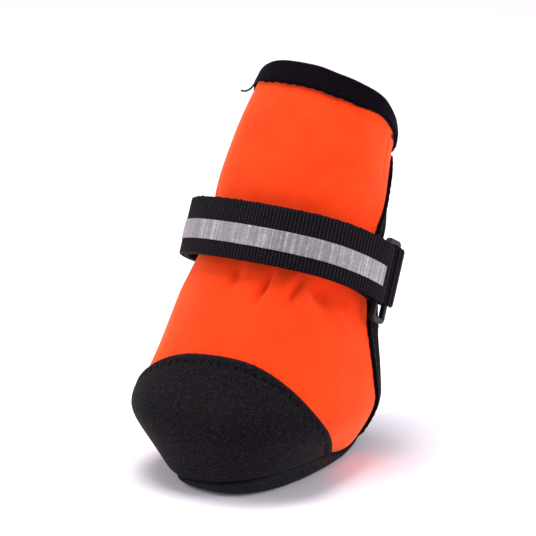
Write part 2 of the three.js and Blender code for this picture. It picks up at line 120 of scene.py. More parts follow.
# Soft creases of the shell: angle, rise, half sizes round the boot and up it,
# depth, over 0 for a trough and under 0 for a ridge, and lean in millimetres round per millimetre up
CREASES = {
    "under the strap, middle": (14, 54.0, 1.6, 4.6, 2.6, 0.25),
    "under the strap, right": (-1, 55.5, 1.6, 3.2, 1.5, 0.1),
    "under the strap, left": (34, 54.0, 1.9, 4.4, 2.6, 0.3),
    "pull towards the ring": (56, 53.5, 5.0, 4.6, 3.4, -0.9),
    "hollow before the ring": (64, 54.5, 7.5, 5.2, 4.0, -1.0),
    "pull under the ring": (82, 51.5, 5.2, 6.5, 2.7, -0.6),
    "under the strap, right side": (-62, 55, 1.8, 3.4, 1.1, -0.2),
    "under the strap, far right": (-88, 54, 2.2, 3.6, 1.2, 0.3),
    "under the strap, rear": (-160, 55.5, 2.2, 3.6, 1.2, 0.2),
    "above the strap, right": (-48, 77.5, 1.8, 3.0, 0.7, 0.2),
    "above the strap, rear": (-150, 78, 2.0, 3.4, 1.0, 0.3),
    "soft fold of the right side": (-112, 38, 5, 12, 0.8, 0.5),
    "soft fold of the left instep": (48, 40, 4.5, 9, 0.5, -0.6),
    "broad hollow of the shaft": (52, 92, 9, 15, 0.7, 0.2),
    "broad swell of the shaft": (6, 86, 10, 13, -0.55, 0.1),
    "hollow above the strap": (82, 79.5, 5, 4.5, 0.8, 0.4),
    "fold from the patch to the strap": (112, 87, 3.2, 8, 1.1, 0.5),
    "ridge beside that fold": (100, 88, 3.6, 8, -0.6, 0.5),
    "hollow of the instep": (-38, 50, 7, 8, 0.7, -0.3),
    "bend at the rear, upper": (-172, 84, 13, 2.6, 0.7, 0),
    "bend at the rear, lower": (-178, 51, 15, 3.0, 0.9, 0),
    "pull at the right side": (-100, 54, 3.4, 6, 0.8, 0.5),
    "pull at the right rear": (-134, 80, 3.0, 6, 0.7, -0.4),
    "hollow of the right side": (-72, 98, 8, 12, 0.6, 0),
}
CINCH_RISE = 66
CINCH_REACH = 10
CINCH_DEPTH = 1.6
CINCH_SWELL = 0.6
SWELL_STEP = 16

# Overlays of the foot
PANEL_SEAT = 0.12
PANEL_TOP = 1.65
PANEL_ROLL = 1.3
PANEL_EDGE = 0.15
TOE_CAP_RISE = 35.5
TOE_CAP_ANGLE = 92.8
TOE_CAP_POWER = 2.1
TOE_CAP_REACH = 0.985
TOE_CAP_SKEW = 3.9
HEEL_PANEL_RISE = 42
HEEL_PANEL_START = 4
HEEL_PANEL_END = -140

# Threads: bow is how far a stitch stands out at its middle, sink and taper are shares of a thread
THREAD = 0.42
THREAD_SINK = 0.35
THREAD_TAPER = 0.6
THREAD_LIFT = 0.1
STITCH_BOW = 0.1
FLAT_STITCH_BOW = 0.05
STITCH_PITCH = 3.0
STITCH_LENGTH = 2.04
STITCH_JITTER = 0.35
SCATTER_TURN = 12.9898
SCATTER_SPREAD = 43758.5453

# Sewing: zigzag over the panels' and the collar's edges, a row on the flap, and the loop patch
# behind the outer flap. Margins are the lengths left free at the two ends of a row.
NO_MARGINS = (0, 0)
ZIGZAG_PITCH = 3.2
ZIGZAG_INSIDE = 2.6
ZIGZAG_OUTSIDE = 0.25
TOE_CAP_MARGINS = (2 * ZIGZAG_PITCH, 2 * ZIGZAG_PITCH)
HEEL_PANEL_MARGINS = (ZIGZAG_PITCH, 1)
DIMPLE_WIDTH = 0.75
DIMPLE_LEAST = 0.2
STITCH_DIMPLE = 0.7
COLLAR_STITCH_DISTANCES = (-0.1, 1.6)
COLLAR_MARGINS = (2, 2)
FLAP_STITCH_START = 4
FLAP_STITCH_INSET = 1.2
FLAP_MARGINS = (1, 1)
BOX_MARGIN = 2.4
BOX_ANGLES = np.array([3, 17])
PATCH_START_ANGLE = 97
PATCH_FLAP_DISTANCE = 9
PATCH_RISES = (97.0, 112.0)
PATCH_TROUGH = 0.3
PATCH_TROUGH_WIDTH = 0.9
PATCH_STITCH_SINK = 0.05
BAR_TACK_ANGLES = (102, 116)
BAR_TACK_RISES = (114.6, 116.6)
BAR_TACK_PITCH = 0.9
BAR_TACK_WIDTH = 1.3

# End of a loose thread at the collar: where it leaves the skin, and points of it from there
LOOSE_END_ROOT = (-36, 115.5)
LOOSE_END_POINTS = (
    (0.5, 0.5, 0.6),
    (-2.1, -1.8, -1.4),
    (-3.7, -3.2, -3.6),
    (-5.0, -4.3, -4.2),
    (-6.3, -5.0, -4.0),
)
LOOSE_END_THICKNESS = 0.7

# Sole and insole: rings outside the tread's outline, as in the part's source, with a rolled lip.
# Of each ring: z, share of the tread, millimetres wider, shares of the toe spring and the seam's dip.
SOLE_MIDDLE = -5.0
TREAD = {"half": 22.2, "front": 31.6, "back": 41.2}
TOE_SPRING = 0.5
SPRING_START = -20
SOLE_RINGS = {
    "tread centre": (0, 0.02, 0, 1, 0),
    "tread middle": (0, 0.5, 0, 1, 0),
    "tread edge": (0, 1, 1.4, 1, 0),
    "tread turn": (0.35, 1, 3.1, 0.9, 0.05),
    "shoulder": (1.5, 1, 4.8, 0.7, 0.2),
    "side": (4.2, 1, 6.2, 0.3, 0.5),
    "lip": (6.3, 1, 6.4, 0, 0.85),
    "lip roll": (7.4, 1, 5.8, 0, 1),
    "lip top": (7.8, 1, 4.9, 0, 1),
    "lip inside": (7.5, 1, 3.6, 0, 1),
    "tray wall": (5.2, 1, 2.4, 0, 0.6),
    "tray floor": (4.0, 1, 0.8, 0, 0.5),
    "tray middle": (4.0, 0.5, 0, 0, 0),
    "tray centre": (4.0, 0.02, 0, 0, 0),
}
INSOLE_RINGS = {
    "underside centre": (4.3, 0.02, 0, 0, 0),
    "underside": (4.3, 1, 0.2, 0, 0),
    "lower edge": (4.8, 1, 1.2, 0, 0),
    "upper edge": (6.0, 1, 1.6, 0, 0),
    "top edge": (6.5, 1, 0.6, 0, 0),
    "top": (6.7, 0.8, 0, 0, 0),
    "top centre": (6.9, 0.02, 0, 0, 0),
}

# Strap: webbing in a band round the ankle that leans with the shaft, as in the part's source.
# Of each sag: depth, and the angles at which it starts and ends.
STRAP_MIDDLE = (0, 18.3, 69.3)
STRAP_TILT = 26
STRAP_WIDTH = 20
WEBBING = 1.4
LAYER_STEP = 1.7
BAND = {"half": 37.25, "front": 32.4, "back": 35.4}
TAB_BAND = {"half": 35.4, "front": 32.4, "back": 33.7}
BAND_ROUNDING = 2.2
STRAP_SAG = (3.2, 40, 95)
STRAP_ANCHOR_ANGLE = -172
STRAP_TAIL_ANGLE = -125
FOLD_START_ANGLE = 87
FOLD_ANGLE = 91
FOLD_LENGTH_ANGLE = 26
FOLD_BULGE = 1.2
TAB_START_ANGLE = 126
TAB_END_ANGLE = 174
TAB_SAG = (2.5, 172, 112)
STRIPE_WIDTH = 6.8
STRIPE_THICKNESS = 0.3
STRIPE_DROP = 1.5
STRIPE_START_ANGLE = 88
STRIPE_END_ANGLE = -118
STRIPE_RIB_DEPTH = 0.05
STRIPE_NUB = 0.068

# Weave of the webbing: shares of its half width and half thickness round one face, ribs across it,
# and loops at its upper edge, the prouder ones by their share of chance
WEAVE_WIDTHS = np.array([1, 0.985, 0.95, 0.8, 0.4, 0, -0.4, -0.8, -0.95, -0.985])
WEAVE_DEPTHS = np.array([0, 0.62, 0.95, 1, 1, 1, 1, 1, 0.95, 0.62])
RIB_PITCH = 1.25
RIB_DEPTH = 0.2
RIB_POWER = 0.7
RIB_SAMPLES = 8
SELVEDGE_NUB = 0.34
NUB_LEAST = 0.25
PROUD_START = 0.55
PROUD_SPAN = 0.4
STRAP_SIZES = (STRAP_WIDTH, WEBBING, RIB_DEPTH, SELVEDGE_NUB, 0)

# Ring: two bars across the strap, joined at their ends
RING_BAR = 2.1
RING_PITCH = 8.0
RING_TURN = 5.7
RING_SLOT_PLAY = 2.35
RING_DROP = 4.7
BAR_PLAY = 0.35
RING_CORNER = 1.0
RING_SQUARENESS = 3.2

# Looks: size of the grain in millimetres and its detail, colours and roughness at places of a pattern,
# relief in millimetres, and these constants
LOOK_CONSTANTS = ("Specular IOR Level", "Sheen Weight", "Sheen Roughness", "Sheen Tint")
LOOKS = {
    "orange_shell": (
        (0.35, 1), ((0.36, (0.88, 0.042, 0.0026)), (0.64, (0.98, 0.055, 0.0046))),
        ((0.3, 0.7), (0.7, 0.86)), 0.05, 0.12, 0.45, 0.4, (1.0, 0.5, 0.2, 1),
    ),
    "lining": (
        (0.6, 4), ((0.3, (0.010, 0.010, 0.011)), (0.75, (0.034, 0.033, 0.036))),
        ((0.3, 0.85), (0.7, 0.97)), 0.25, 0.2, 0.3, 0.5,
    ),
    "neoprene": (
        (0.75, 3, 0.65),
        ((0.18, (0.0012, 0.0006, 0.0014)), (0.3, (0.0036, 0.0019, 0.0043)),
         (0.42, (0.017, 0.0125, 0.019))),
        ((0.35, 0.9), (0.68, 0.62)), 0.3, 0.11, 0.015, 0.45,
    ),
    "grip_cloth": (
        (0.5, 1), ((0.05, (0.013, 0.0115, 0.017)), (0.5, (0.002, 0.0016, 0.003))),
        ((0.5, 0.78), (0.72, 0.3)), 0.28, 0.2,
    ),
    "binding": (
        (0.4, 2), ((0.3, (0.001, 0.0004, 0.0012)), (0.75, (0.0045, 0.0022, 0.0058))),
        ((0.3, 0.8), (0.7, 0.95)), 0.14, 0.035, 0.03, 0.4,
    ),
    # webbing: its palest colour is a painted highlight on the crowns of the ribs
    "webbing": (
        (0.25, 2),
        ((0.12, (0.0006, 0.0005, 0.0007)), (0.42, (0.003, 0.0019, 0.0034)),
         (0.62, (0.032, 0.023, 0.034))),
        ((0.3, 0.55), (0.7, 0.8)), 0.07, 0.07,
    ),
    "reflective_tape": (
        (0.4, 2),
        ((0.3, (0.15, 0.136, 0.148)), (0.55, (0.275, 0.249, 0.271)), (0.74, (0.61, 0.57, 0.60))),
        ((0.3, 0.32), (0.7, 0.6)), 0.05, 0.5,
    ),
    "ring_plastic": (
        (0.3, 2), ((0.3, (0.0025, 0.0022, 0.003)), (0.7, (0.006, 0.005, 0.0065))),
        ((0.3, 0.36), (0.7, 0.52)), 0.03, 0.16,
    ),
    "dark_thread": (
        (0.18, 2), ((0.3, (0.0063, 0.0063, 0.007)), (0.7, (0.0117, 0.0117, 0.013))),
        ((0.3, 0.5), (0.7, 0.75)), 0.06, 0.3,
    ),
    "orange_thread": (
        (0.18, 2), ((0.3, (0.385, 0.021, 0.0028)), (0.7, (0.715, 0.039, 0.0052))),
        ((0.3, 0.5), (0.7, 0.75)), 0.06, 0.3,
    ),
    "floor": (
        (60, 2), ((0.3, (0.955, 0.905, 0.98)), (0.7, (0.965, 0.92, 0.985))),
        ((0, 0.9), (1, 0.9)), 0, 0.1,
    ),
}

# Other patterns of the looks, like their grains, and shares of patterns in a sum
SHELL_CLOUD, SHELL_MOTTLE, SHELL_SHARES = (9, 3), (0.8, 2), (0.6, 0.4)
NEOPRENE_FIBRES = (0.42, 1)
GRIP_PEBBLE = 0.62
YARN_TURN, YARN_RELIEF, YARN_TONE = 9.0, 0.5, 0.12
TAPE_CLOUD, TAPE_SHARES = (2.2, 2), (0.55, 0.22, 0.22)
PLASTIC_CLOUD = (3, 2)

# Soft swell under the relief of some cloths: size and depth in millimetres
SWELLS = {
    "orange_shell": (5, 0.08), "neoprene": (6, 0.2), "grip_cloth": (4, 0.15), "binding": (3.5, 0.2),
}
SWELL_DETAIL = 2

# View of the photograph: the camera stands where it stood, and frames the boot
CAMERA_AZIMUTH = 33.6
CAMERA_ELEVATION = 15.9
CAMERA_ROLL = -1.2
CAMERA_TARGET = (0, 20, 74)
CAMERA_DISTANCE = 900
FRAME_MIDDLE = (-1, 5, 66)
SENSOR = 36
LENS = 176
CLIP_START, CLIP_END = 0.01, 50

# Studio, in metres: half side of the floor, soft boxes with place, size, watts and colour, and sky
FLOOR_HALF = 4.0
LIGHTS = {
    "overhead": ((-0.15, 0.05, 1.25), (0.7, 0.7), 15.0, (1.0, 0.985, 0.97)),
    "left": ((-1.0, -0.6, 0.55), (0.6, 1.0), 7.2, (1.0, 0.99, 0.98)),
    "right": ((1.05, 0.15, 0.5), (0.6, 1.0), 8.5, (0.98, 0.98, 1.0)),
}
LIGHT_AIM = (0, 0.01, 0.06)
WORLD_COLOUR = (0.95, 0.94, 1.0, 1)
WORLD_STRENGTH = 0.43


def smooth(value):
    """0 to 1 with level ends."""
    t = np.clip(value, 0, 1)
    return t * t * (3 - 2 * t)


def lerp(start, end, share):
    return start + (end - start) * share


def eased(before, here, after):
    """Mean of a place and its neighbours."""
    return (before + 2 * here + after) / 4


def unit(vectors):
    return vectors / np.linalg.norm(vectors, axis=-1, keepdims=True)


def stacked(*columns):
    return np.stack(np.broadcast_arrays(*columns), axis=-1)


def paired(angle, rise):
    return np.broadcast_arrays(np.asarray(angle, float), np.asarray(rise, float))


def signed_power(value, power):
    return np.sign(value) * np.abs(value) ** power


def hump(distance, reach):
    return np.exp(-((distance / reach) ** 2))


def crowded(count, power):
    """Shares from 0 to 1 that crowd towards 1."""
    return 1 - (1 - np.linspace(0, 1, count)) ** power


def travelled(points):
    """Length of a line up to each of its points."""
    return np.append(0, np.cumsum(np.linalg.norm(np.diff(points, axis=0), axis=-1)))


def uneven(count):
    """A share from 0 to 1 that differs from one whole number to the next."""
    return np.sin(count * SCATTER_TURN) * SCATTER_SPREAD % 1


def curve_through(stations, values):
    """Smooth curve through the rows of a table, which never swings past a row."""
    stations, values = np.asarray(stations, float), np.asarray(values, float)
    secants = np.diff(values) / np.diff(stations)
    before, after = np.r_[secants[:1], secants], np.r_[secants, secants[-1:]]
    alike = before * after > 0
    slopes = np.where(alike, 2 * before * after / np.where(alike, before + after, 1), 0)

    def at(place):
        place = np.clip(place, stations[0], stations[-1])
        upper = np.clip(np.searchsorted(stations, place), 1, len(stations) - 1)
        span = stations[upper] - stations[upper - 1]
        t = (place - stations[upper - 1]) / span
        rest = 1 - t
        left = values[upper - 1] * (1 + 2 * t) + slopes[upper - 1] * span * t
        right = values[upper] * (1 + 2 * rest) - slopes[upper] * span * rest
        return left * rest * rest + right * t * t

    return at


section_rows = np.array(list(SECTIONS.values()), float)
RISES = travelled(section_rows[:, :2])
COLLAR_RISE = RISES[-1]
section_curves = {key: curve_through(RISES, row) for key, row in zip(SECTION_COLUMNS, section_rows.T)}
flap_angle = section_curves["flap"]
rim_lift = curve_through(RIM_ANGLES, RIM_LIFTS)
collar_width = curve_through(BINDING_ANGLES, BINDING_WIDTHS)
shaft_way = unit(np.append(0, section_rows[-1, :2] - section_rows[-2, :2]))


def section(key, rise):
    """A column of the section table at a rise, eased so that no section shows as a line."""
    reach = np.clip(np.minimum(rise, COLLAR_RISE - rise), 0, SOFTEN_RISE)
    curve = section_curves[key]
    return eased(curve(rise - reach), curve(rise), curve(rise + reach))


def outline(angle, reach, toe_rounding, heel_rounding):
    """Rounded outline at an angle from the toe, positive to the left side: across and ahead."""
    side, ahead = np.sin(np.radians(angle)), np.cos(np.radians(angle))
    power = 2 / np.where(ahead > 0, toe_rounding, heel_rounding)
    length = np.where(ahead > 0, reach["front"], reach["back"])
    return np.stack([reach["half"] * signed_power(side, power), length * signed_power(ahead, power)])


def signed_turn(angle):
    """The same direction as an angle from -180 to 180."""
    return (np.asarray(angle, float) + 180) % 360 - 180


def around_boot(table, angle):
    """Sum of soft humps round the boot, each with a middle angle, a spread and a height."""
    rows = table.values()
    return sum(height * hump(signed_turn(angle - middle), spread) for middle, spread, height in rows)


def rim_share(rise):
    """0 on the shaft, 1 at the rim."""
    return smooth((rise - RIM_LIFT_START) / (COLLAR_RISE - RIM_LIFT_START))


def skin_base(angle, rise):
    """Point of the upper's skin, without creases."""
    angle, rise = paired(angle, rise)
    reach = {key: section(key, rise) for key in ("half", "front", "back")}
    turns = (angle - SOFTEN_ANGLE, angle, angle + SOFTEN_ANGLE)
    across, ahead = eased(*(outline(turn, reach, TOE_ROUNDING, HEEL_ROUNDING) for turn in turns))
    sag = 1 - smooth(rise / SEAM_SAG_RISE)
    dip, drawn = sag * around_boot(SEAM_DIPS, angle), 1 - sag * around_boot(SEAM_DRAWS, angle)
    across, ahead = across * drawn, ahead * drawn
    tilt = np.radians(section("tilt", rise))
    y = section("y", rise) - ahead * np.cos(tilt)
    z = section("z", rise) + ahead * np.sin(tilt) - dip
    z = z - section("drop", rise) * across / reach["half"]
    lift = rim_lift(angle) * rim_share(rise)
    return stacked(across, y, z) + lift[..., None] * shaft_way


def per_degree(angle, rise):
    return (skin_base(angle + PROBE, rise) - skin_base(angle - PROBE, rise)) / (2 * PROBE)


def round_step(angle, rise):
    """How far one degree goes round the skin."""
    return np.linalg.norm(per_degree(angle, rise), axis=-1)


def skin_frame(angle, rise):
    """Point of the skin, its step for a degree, its step for a millimetre of rise, and its normal."""
    angle, rise = paired(angle, rise)
    low, high = np.clip(rise - PROBE, 0, None), np.clip(rise + PROBE, None, COLLAR_RISE)
    around = per_degree(angle, rise)
    upwards = (skin_base(angle, high) - skin_base(angle, low)) / (high - low)[..., None]
    normal = unit(np.cross(around, upwards))
    normal[..., 2] *= smooth(rise / LEVEL_RISE)
    return skin_base(angle, rise), around, upwards, unit(normal)


def skin(angle, rise, out):
    """Point of the upper's skin, moved out along the normal."""
    point, _, _, normal = skin_frame(angle, rise)
    return point + normal * np.asarray(out)[..., None]


def creases_at(angle, rise):
    """Height of the creases, the pinch under the strap and the patch's sewn edge."""
    height = -CINCH_DEPTH * hump(rise - CINCH_RISE, CINCH_REACH)
    for side in (-SWELL_STEP, SWELL_STEP):
        height = height + CINCH_SWELL * hump(rise - CINCH_RISE - side, CINCH_REACH)
    step = round_step(angle, rise)
    for middle, middle_rise, around, along, depth, lean in CREASES.values():
        up = rise - middle_rise
        across = signed_turn(angle - middle) * step - lean * up
        height = height - depth * hump(across, around) * hump(up, along)
    low, high = PATCH_RISES
    from_start = (angle - PATCH_START_ANGLE) * step
    to_end = (flap_angle(rise) - angle) * step - PATCH_FLAP_DISTANCE
    inside = np.minimum(np.minimum(from_start, to_end), np.minimum(rise - low, high - rise))
    return height - PATCH_TROUGH * hump(inside, PATCH_TROUGH_WIDTH)


def seam_tuck(rise):
    """How far the cloth rolls in towards the sole seam."""
    return -SEAM_TUCK * np.clip(1 - rise / SEAM_TUCK_RISE, 0, 1) ** 2


def shell_out(angle, rise):
    """Where the sheet lies from the skin: the inner flap dips under the outer one."""
    clear = flap_angle(rise) - 360 + FLAP_CLEARANCE
    deepest = FLAP_DIP + RIM_FLAP_DIP * rim_share(rise)
    dip = -deepest * (1 - smooth((angle - clear) / EMERGE_ANGLE))
    return dip + seam_tuck(rise) + creases_at(angle, rise)


def on_shell(angle, rise, out):
    """Point of the sheet's outer face, moved out along the skin's normal."""
    return skin(angle, rise, shell_out(angle, rise) + out)


def add_object(name, data):
    item = bpy.data.objects.new(name, data)
    bpy.context.scene.collection.objects.link(item)
    return item


def grid_quads(rows, columns, wrap=False, closed=False):
    """Quads of a grid of points; wrap joins its last column to the first, closed its last row."""
    index = np.arange(rows * columns).reshape(rows, columns)
    index = np.pad(index, ((0, closed), (0, wrap)), "wrap")
    return stacked(index[:-1, :-1], index[:-1, 1:], index[1:, 1:], index[1:, :-1]).reshape(-1, 4)


def signed_volume(points, quads):
    a, b, c, d = (points[quads[:, i]] for i in range(4))
    return np.sum(a * np.cross(b, c)) + np.sum(a * np.cross(c, d))


def add_piece(name, points, quads, materials, uv=None, second=None, caps=(), extra=False):
    """Makes a smooth mesh object that rides on the boot. second marks faces of the second material.
    A piece takes the place of the node of its name, unless it is an extra."""
    points = np.asarray(points, float).reshape(-1, 3) * MM
    if signed_volume(points - points.mean(axis=0), quads) < 0:
        quads, caps = quads[:, ::-1], [cap[::-1] for cap in caps]
    mesh = bpy.data.meshes.new(name)
    mesh.from_pydata(points.tolist(), [], [*quads.tolist(), *caps])
    mesh.polygons.foreach_set("use_smooth", np.ones(len(mesh.polygons), bool))
    for material in materials:
        mesh.materials.append(material)
    if second is not None:
        mesh.polygons.foreach_set("material_index", np.asarray(second, np.int32))
    if uv is not None:
        corner_points = np.empty(len(mesh.loops), np.int32)
        mesh.loops.foreach_get("vertex_index", corner_points)
        layer = mesh.uv_layers.new(name="cloth")
        layer.data.foreach_set("uv", np.asarray(uv, np.float32).reshape(-1, 2)[corner_points].ravel())
    mesh.update()
    piece = add_object(name, mesh)
    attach(piece, "root")
    if not extra:
        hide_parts(name)
    return piece


def add_sheet(name, angle, rise, outer, inner, materials):
    """Closed body between two heights over a grid of the skin; the second material is inside."""
    rows, columns = outer.shape
    layer = rows * columns
    front = grid_quads(rows, columns)
    index = np.arange(layer).reshape(rows, columns)
    rim = np.r_[index[0, :-1], index[:-1, -1], index[-1, :0:-1], index[:0:-1, 0]]
    after = np.roll(rim, -1)
    edge = stacked(after, rim, rim + layer, after + layer)
    quads = np.concatenate([front, front[:, ::-1] + layer, edge])
    second = np.repeat([0, len(materials) - 1, 0], [len(front), len(front), len(edge)])
    points = np.concatenate([skin(angle, rise, out).reshape(-1, 3) for out in (outer, inner)])
    add_piece(name, points, quads, materials, second=second)


def add_tube(name, rings, material, uv=None, closed=False, extra=False):
    """Body, or several, through rings of points, with covered ends unless it closes on itself."""
    count, around = rings.shape[-3:-1]
    first = np.arange(0, rings.size // 3, count * around)[:, None]
    quads = (first[..., None] + grid_quads(count, around, True, closed)).reshape(-1, 4)
    foot, head = np.arange(around)[::-1], np.arange(around) + (count - 1) * around
    caps = [] if closed else [*(first + foot).tolist(), *(first + head).tolist()]
    return add_piece(name, rings, quads, [material], uv=uv, caps=caps, extra=extra)


def make_upper(shell, lining):
    share, up = np.meshgrid(*(np.linspace(0, 1, count) for count in UPPER_GRID))
    rise = up**UPPER_CROWDING * COLLAR_RISE
    end = flap_angle(rise)
    angle = lerp(end - OVERLAP_ANGLE - 360, end, share)
    outer = shell_out(angle, rise)
    inner = outer - seam_tuck(rise) - WALL
    add_sheet("upper", angle, rise, outer, inner, [shell, lining])


class SkinLine:
    """Line on the skin, walked by its length."""

    def __init__(self, angle, rise):
        self.angle, self.rise = paired(angle, rise)
        self.along = travelled(skin_base(self.angle, self.rise))
        self.length = self.along[-1]

    def at(self, along):
        return np.interp(along, self.along, self.angle), np.interp(along, self.along, self.rise)

    def ahead(self, along):
        return skin_base(*self.at(along + PROBE)) - skin_base(*self.at(along - PROBE))

    def beside(self, along, distance):
        """Angle and rise of places that lie a distance to the left of the line, seen from outside."""
        angle, rise = self.at(along)
        _, around, upwards, normal = skin_frame(angle, rise)
        side = unit(np.cross(normal, self.ahead(along))) * np.asarray(distance, float)[..., None]
        steps = stacked(around, upwards, np.cross(around, upwards))
        turn, climb, _ = np.linalg.solve(steps, side[..., None])[..., 0].T
        return angle + turn, np.clip(rise + climb, 0, COLLAR_RISE)


def toe_cap_line():
    """Upper edge of the toe cap, a little higher on its left half."""
    side = np.linspace(-TOE_CAP_REACH, TOE_CAP_REACH, LINE_POINTS)
    rise = TOE_CAP_RISE * (1 - np.abs(side) ** TOE_CAP_POWER) + TOE_CAP_SKEW * side * (1 - side**2)
    return SkinLine(side * TOE_CAP_ANGLE, rise)


def heel_panel_start(rise):
    """Angle just behind the flap's edge."""
    return flap_angle(rise) - 360 + HEEL_PANEL_START


def zigzag_dimples(along, distance):
    """How deep the inner needle holes of a zigzag pull a panel in."""
    hole = (0.5 - 0.5 * np.cos(2 * np.pi * along / ZIGZAG_PITCH)) ** 2
    return STITCH_DIMPLE * hump(distance - ZIGZAG_INSIDE, DIMPLE_WIDTH) * lerp(DIMPLE_LEAST, 1, hole)


def add_panel(name, angle, rise, seat, distance, dimples, neoprene):
    """Overlay on a seat over the skin, with its edge rolled and its stitches pulled in."""
    roll = np.sqrt(1 - np.clip(1 - distance / PANEL_ROLL, 0, 1) ** 2)
    thickness = PANEL_TOP - PANEL_SEAT - np.minimum(dimples, STITCH_DIMPLE)
    inner = seat + PANEL_SEAT
    outer = inner + thickness * lerp(PANEL_EDGE, 1, roll)
    add_sheet(name, angle, rise, outer, inner, [neoprene])


def make_toe_cap(neoprene):
    line = toe_cap_line()
    columns, rows = TOE_CAP_GRID
    along = np.linspace(0, line.length, columns)
    angle, top = line.at(along)
    _, _, upwards, _ = skin_frame(angle, top)
    steepness = np.linalg.norm(np.cross(unit(upwards), unit(line.ahead(along))), axis=-1)
    rise = crowded(rows, TOE_CAP_CROWDING)[:, None] * top
    distance = (top - rise) * steepness
    dimples = zigzag_dimples(along, distance)
    add_panel("toe_cap", angle, rise, seam_tuck(rise), distance, dimples, neoprene)


def make_heel_panel(neoprene):
    columns, rows = HEEL_PANEL_GRID
    rise = crowded(rows, HEEL_PANEL_CROWDING)[:, None] * HEEL_PANEL_RISE
    start = heel_panel_start(rise)
    angle = lerp(start, HEEL_PANEL_END, np.linspace(0, 1, columns))
    step = round_step(angle, rise)
    from_start, to_end = (angle - start) * step, (HEEL_PANEL_END - angle) * step
    to_top = HEEL_PANEL_RISE - rise
    distance = np.minimum(np.minimum(to_top, to_end), from_start)
    dimples = zigzag_dimples(from_start, to_top) + zigzag_dimples(rise, to_end)
    add_panel("heel_panel", angle, rise, shell_out(angle, rise), distance, dimples, neoprene)


def waves(table, along):
    return sum(height * np.sin(2 * np.pi * along / length + start) for length, height, start in table)


def bound_edge(along, width):
    """Tape folded round an edge, at places along it: past the edge and out from the skin.
    Its sewn edge swells between the stitches and is drawn in and out by them."""
    turn = np.radians(np.linspace(90, -90, BINDING_FOLD_POINTS))
    leg = np.linspace(1, 0, BINDING_LEG_POINTS)[:-1]
    flat, middle = np.zeros_like(leg), -WALL / 2
    inside = np.r_[leg, 0 * turn, leg[::-1]]
    face = (inside, np.r_[flat, np.cos(turn), flat], np.r_[flat + 1, np.sin(turn), flat - 1])
    lift = np.repeat([BINDING_FAR, BINDING_NEAR], len(inside))
    inside, fold, side = (np.r_[part, part[::-1]] for part in face)
    out = middle + (lift - middle) * side
    past = lift * fold - inside * width + waves(BINDING_WAVES, along) * inside**3
    outwards = np.where(out > middle, 1, -1)
    return past, out + waves(BINDING_PUCKERS, along) * smooth(inside) * outwards


def make_collar_binding(cloth):
    """Binding of the collar, which goes on straight past the rim."""
    end = flap_angle(COLLAR_RISE)
    start = end - 360 - OVERLAP_ANGLE + BINDING_START_ANGLE
    angle = np.linspace(start, end, COLLAR_RINGS)[:, None]
    along = SkinLine(angle[:, 0], COLLAR_RISE).along[:, None]
    past, out = bound_edge(along, collar_width(angle))
    inside = np.minimum(past, 0)
    upwards = unit(on_shell(angle, COLLAR_RISE, out) - on_shell(angle, COLLAR_RISE - 1, out))
    rings = on_shell(angle, COLLAR_RISE + inside, out) + upwards * (past - inside)[..., None]
    add_tube("collar_binding", rings, cloth, uv=stacked(along, past))


def make_flap_binding(cloth):
    rise = np.linspace(0, COLLAR_RISE - FLAP_BINDING_TOP, FLAP_RINGS)[:, None]
    edge = flap_angle(rise)
    along = SkinLine(edge[:, 0], rise[:, 0]).along[:, None]
    past, out = bound_edge(along, FLAP_BINDING_WIDTH)
    angle = edge + past / round_step(edge, rise)
    rings = skin(angle, rise, shell_out(np.minimum(angle, edge), rise) + out)
    add_tube("flap_binding", rings, cloth, uv=stacked(along, past))


def sole_rings(table, steps, draws):
    """Rings of points, in even steps from one row of a table to the next."""
    rows = np.array(list(table.values()), float)
    travel = travelled(stacked(rows[:, 1] * TREAD["half"] + rows[:, 2], rows[:, 0]))
    places = np.concatenate([np.linspace(a, b, steps + 1)[:-1] for a, b in zip(travel, travel[1:])])
    places = np.append(places, travel[-1])[:, None]
    z, grow, wider, spring, follow = (curve_through(travel, column)(places) for column in rows.T)
    angle = signed_turn(np.linspace(0, 360, SOLE_POINTS, endpoint=False))
    dip, drawn = follow * around_boot(SEAM_DIPS, angle), 1 - around_boot(SEAM_DRAWS | draws, angle)
    reach = {key: (size * grow + wider) * drawn for key, size in TREAD.items()}
    across, ahead = outline(angle, reach, TOE_ROUNDING, HEEL_ROUNDING)
    y = SOLE_MIDDLE - ahead
    beyond = np.clip(SPRING_START - y, 0, None) / (SPRING_START - SOLE_MIDDLE + TREAD["front"])
    return stacked(across, y, z - dip + spring * TOE_SPRING * beyond**2)


def make_sole(cloth, lining):
    rings = sole_rings(SOLE_RINGS, SOLE_STEPS, SOLE_DRAWS)
    sole = add_tube("sole", rings, cloth)
    rings = sole_rings(INSOLE_RINGS, INSOLE_STEPS, INSOLE_DRAWS)
    insole = add_tube("insole", rings, lining)


def to_boot(across, rearwards, upwards):
    """Points of the strap's own frame, in the frame of the boot."""
    turn = math.radians(STRAP_TILT)
    y = rearwards * math.cos(turn) + upwards * math.sin(turn)
    z = upwards * math.cos(turn) - rearwards * math.sin(turn)
    return stacked(across, y, z) + np.array(STRAP_MIDDLE)


def band_point(angle, inset, band=BAND):
    """Point at an angle of a band's middle line, or of a layer that lies further in."""
    reach = {key: size - inset for key, size in band.items()}
    across, ahead = outline(angle, reach, BAND_ROUNDING, BAND_ROUNDING)
    return stacked(across, -ahead)


def band_step(angle, inset, band=BAND):
    """Step of a band for a degree."""
    ends = band_point(angle + PROBE, inset, band) - band_point(angle - PROBE, inset, band)
    return ends / (2 * PROBE)


FOLD_RADIUS = RING_BAR / 2 + BAR_PLAY + WEBBING / 2
BAR_INSET = FOLD_RADIUS - FOLD_BULGE
first_bar = band_point(FOLD_ANGLE, BAR_INSET)
ring_along = np.array([-math.sin(math.radians(RING_TURN)), math.cos(math.radians(RING_TURN))])
second_bar = first_bar + ring_along * RING_PITCH


